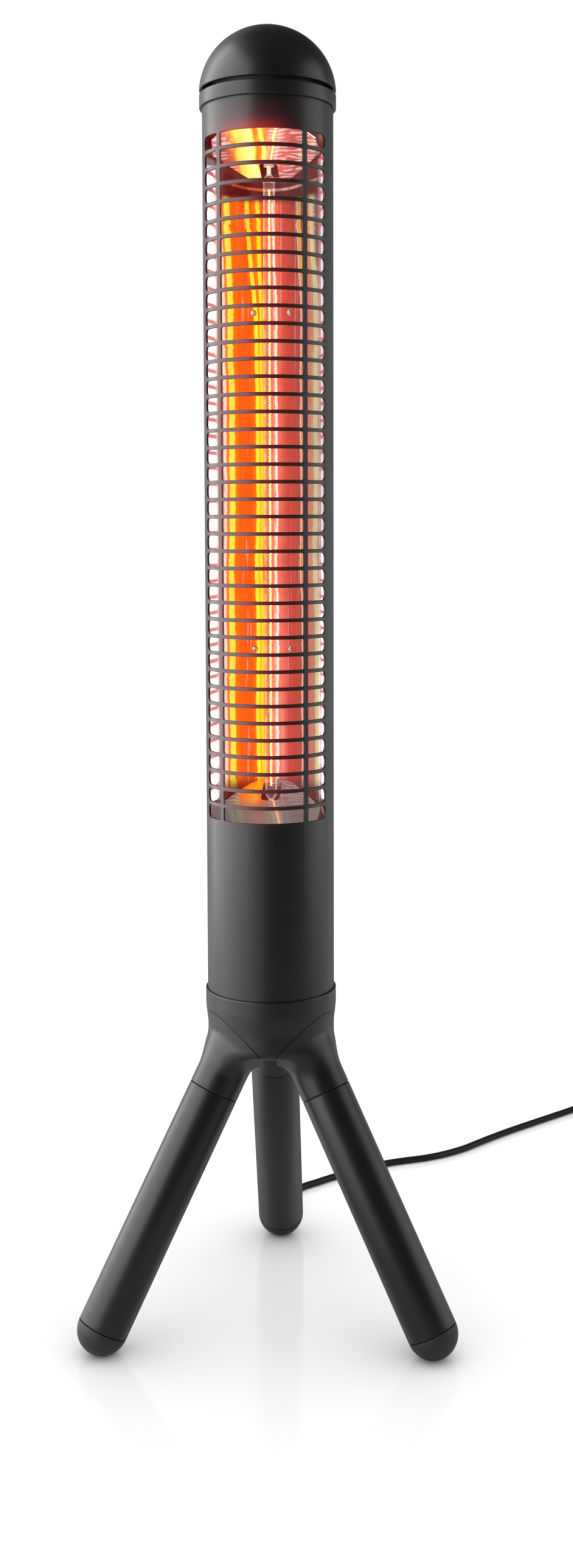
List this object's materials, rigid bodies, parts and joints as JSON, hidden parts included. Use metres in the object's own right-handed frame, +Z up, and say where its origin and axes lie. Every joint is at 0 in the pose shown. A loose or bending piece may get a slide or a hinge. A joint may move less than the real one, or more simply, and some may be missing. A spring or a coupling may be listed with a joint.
{
  "type": "patio heater",
  "caption": "Slender free-standing electric patio heater: slotted tube round a quartz lamp and polished trough, domed cap, and splayed round legs with rubber feet.",
  "frame": {"origin": "on the floor, at the centre of the box round the heater without its lead", "axes": "+Z up along the tube, -Y towards the side that the grille and two of the legs face, +X to the right seen from there"},
  "size_m": [0.6563, 0.7002, 1.19],
  "materials": {
    "powder_coat": "fine textured matte powder coat",
    "foot_rubber": "matte",
    "polished_sheet": "bright polished",
    "zinc_steel": "zinc plated",
    "quartz": "clear",
    "tungsten": "glowing wire",
    "ceramic": "unglazed ceramic",
    "dark_plastic": "fine matte",
    "pale_plastic": "moulded, matte",
    "brass": "bare",
    "lead_rubber": "smooth sheath"
  },
  "bodies": {
    "heater": {"dome_cap": "powder_coat", "cap_neck": "dark_plastic", "cap_screw": "zinc_steel", "top_collar": "powder_coat", "body_tube": "powder_coat", "upper_bulkhead": "zinc_steel", "lower_bulkhead": "zinc_steel", "lamp_reflector": "polished_sheet", "upper_end_reflector": "polished_sheet", "lower_end_reflector": "polished_sheet", "quartz_tube": "quartz", "lamp_filament": "tungsten", "upper_lamp_ceramic": "ceramic", "lower_lamp_ceramic": "ceramic", "upper_lamp_holder": "zinc_steel", "lower_lamp_holder": "zinc_steel", "upper_reflector_bracket": "zinc_steel", "upper_rivet_left": "zinc_steel", "upper_rivet_right": "zinc_steel", "upper_rear_screw": "zinc_steel", "lower_reflector_bracket": "zinc_steel", "lower_rivet_left": "zinc_steel", "lower_rivet_right": "zinc_steel", "lower_rear_screw": "zinc_steel", "switch_bezel": "zinc_steel", "switch_body": "dark_plastic", "upper_lamp_wire": "lead_rubber", "lower_lamp_wire": "lead_rubber", "switch_wire": "lead_rubber", "tip_switch_case": "pale_plastic", "tip_switch_pin": "zinc_steel", "terminal_block": "pale_plastic", "hub_ring": "powder_coat", "left_leg_tube": "powder_coat", "left_leg_socket": "powder_coat", "left_foot": "foot_rubber", "left_hub_bolt_1": "zinc_steel", "left_hub_bolt_2": "zinc_steel", "right_leg_tube": "powder_coat", "right_leg_socket": "powder_coat", "right_foot": "foot_rubber", "right_hub_bolt_1": "zinc_steel", "right_hub_bolt_2": "zinc_steel", "back_leg_tube": "powder_coat", "back_leg_socket": "powder_coat", "back_foot": "foot_rubber", "back_hub_bolt_1": "zinc_steel", "back_hub_bolt_2": "zinc_steel", "lead_gland": "lead_rubber", "inner_lead": "lead_rubber", "mains_lead": "lead_rubber", "lead_coil": "lead_rubber", "coil_tie": "dark_plastic", "plug_body": "dark_plastic", "plug_pin_left": "brass", "plug_pin_right": "brass"},
    "switch_button": {"switch_button": "dark_plastic"},
    "tip_switch_bob": {"tip_switch_bob": "brass"}
  },
  "joints": [
    {"name": "switch_button_push", "type": "slide", "parent": "heater", "child": "switch_button", "axis": [-0.068, -0.9977, 0], "range_m": [0, 0.0025], "stiffness_N_per_m": 600, "springref_m": -0.001},
    {"name": "tip_switch_swing", "type": "hinge", "parent": "heater", "child": "tip_switch_bob", "pos_m": [0, -0.05693, 0.32774], "axis": [0, 1, 0], "range_deg": [-20, 20]}
  ]
}
